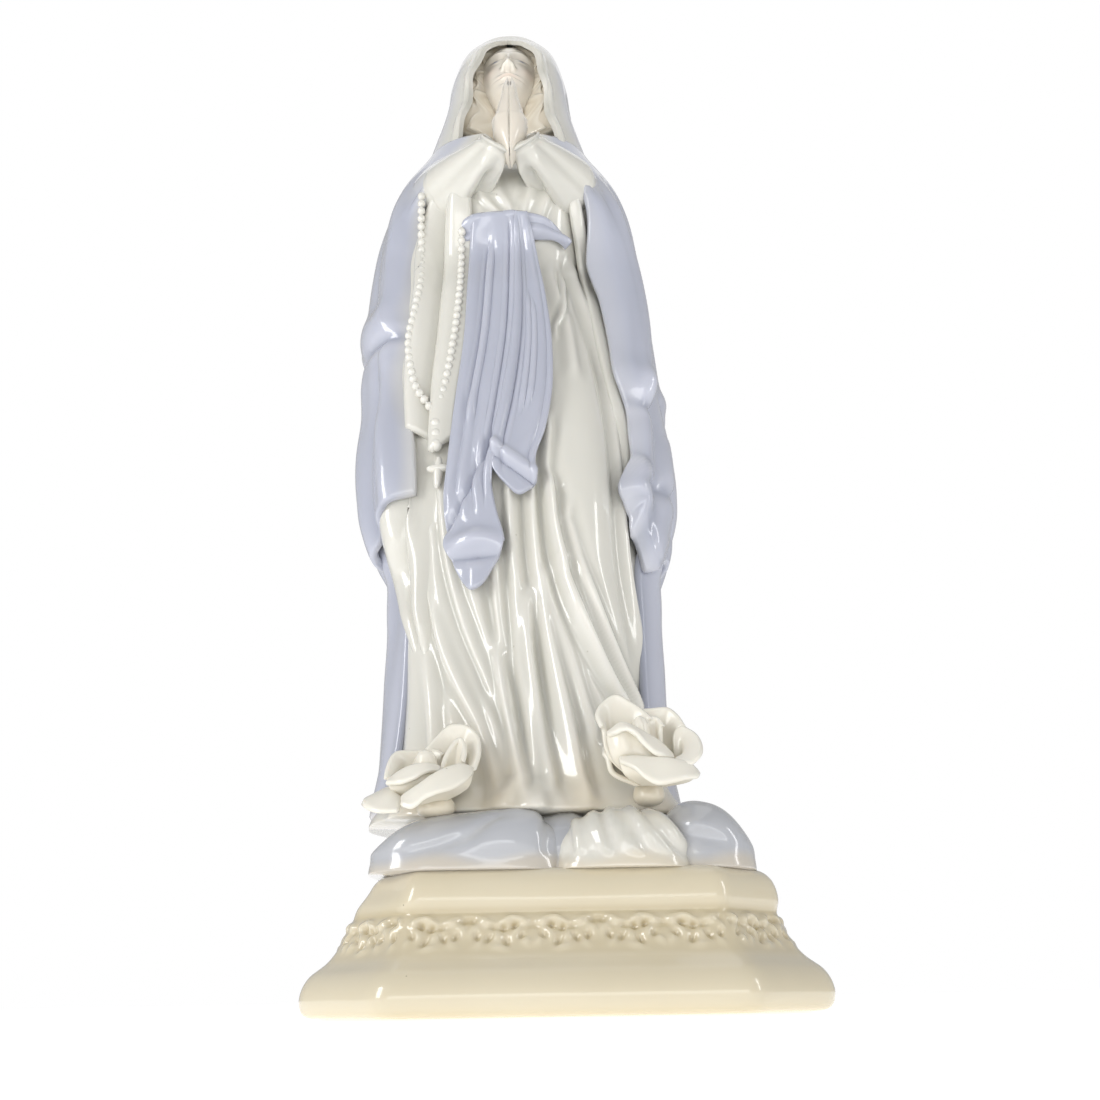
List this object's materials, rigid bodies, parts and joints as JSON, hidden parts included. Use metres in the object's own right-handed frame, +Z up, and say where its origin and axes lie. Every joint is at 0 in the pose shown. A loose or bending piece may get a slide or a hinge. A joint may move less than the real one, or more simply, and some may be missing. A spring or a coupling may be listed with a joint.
{
  "type": "madonna statue",
  "caption": "Glazed porcelain figure of a praying Madonna in robe, sash and mantle with a rosary, standing on rocks with hand-made roses on a moulded canted plinth.",
  "frame": {"origin": "middle of the plinth's underside, on the surface it stands on", "axes": "+Z up along the figure; the figure faces -Y; +X is the viewer's right when facing it"},
  "size_m": [0.109, 0.092, 0.3],
  "materials": {
    "beige_glaze": "smooth beige glaze with relief",
    "grey_blue_glaze": "wet-looking grey-blue glaze",
    "cream_pearl_glaze": "cream pearl lustre glaze",
    "pale_blue_pearl_glaze": "pale periwinkle pearl lustre glaze",
    "ivory_porcelain": "ivory satin glaze",
    "fawn_glaze": "fawn satin glaze",
    "satin_white_porcelain": "satin white glaze",
    "bead_glaze": "silvery cream glaze"
  },
  "bodies": {
    "root": {"crucifix": "bead_glaze", "hair": "fawn_glaze", "head": "ivory_porcelain", "left_hand": "ivory_porcelain", "left_sleeve": "cream_pearl_glaze", "left_sleeve_drape": "cream_pearl_glaze", "mantle": "pale_blue_pearl_glaze", "plinth": "beige_glaze", "right_hand": "ivory_porcelain", "right_sleeve": "cream_pearl_glaze", "right_sleeve_drape": "cream_pearl_glaze", "robe": "cream_pearl_glaze", "rock_centre": "grey_blue_glaze", "rock_left": "grey_blue_glaze", "rock_mound": "grey_blue_glaze", "rock_right": "grey_blue_glaze", "rosary_inner_strand": "bead_glaze", "rosary_outer_strand": "bead_glaze", "rosary_pendant": "bead_glaze", "rose_left_core": "satin_white_porcelain", "rose_left_petal_1": "satin_white_porcelain", "rose_left_petal_2": "satin_white_porcelain", "rose_left_petal_3": "satin_white_porcelain", "rose_left_petal_4": "satin_white_porcelain", "rose_left_petal_5": "satin_white_porcelain", "rose_left_petal_6": "satin_white_porcelain", "rose_left_petal_7": "satin_white_porcelain", "rose_left_seat": "satin_white_porcelain", "rose_right_core": "satin_white_porcelain", "rose_right_petal_1": "satin_white_porcelain", "rose_right_petal_2": "satin_white_porcelain", "rose_right_petal_3": "satin_white_porcelain", "rose_right_petal_4": "satin_white_porcelain", "rose_right_petal_5": "satin_white_porcelain", "rose_right_petal_6": "satin_white_porcelain", "rose_right_petal_7": "satin_white_porcelain", "rose_right_seat": "satin_white_porcelain", "sash_tail_left": "pale_blue_pearl_glaze", "sash_tail_right": "pale_blue_pearl_glaze", "sash_waistband": "pale_blue_pearl_glaze", "veil": "pale_blue_pearl_glaze"}
  },
  "joints": []
}
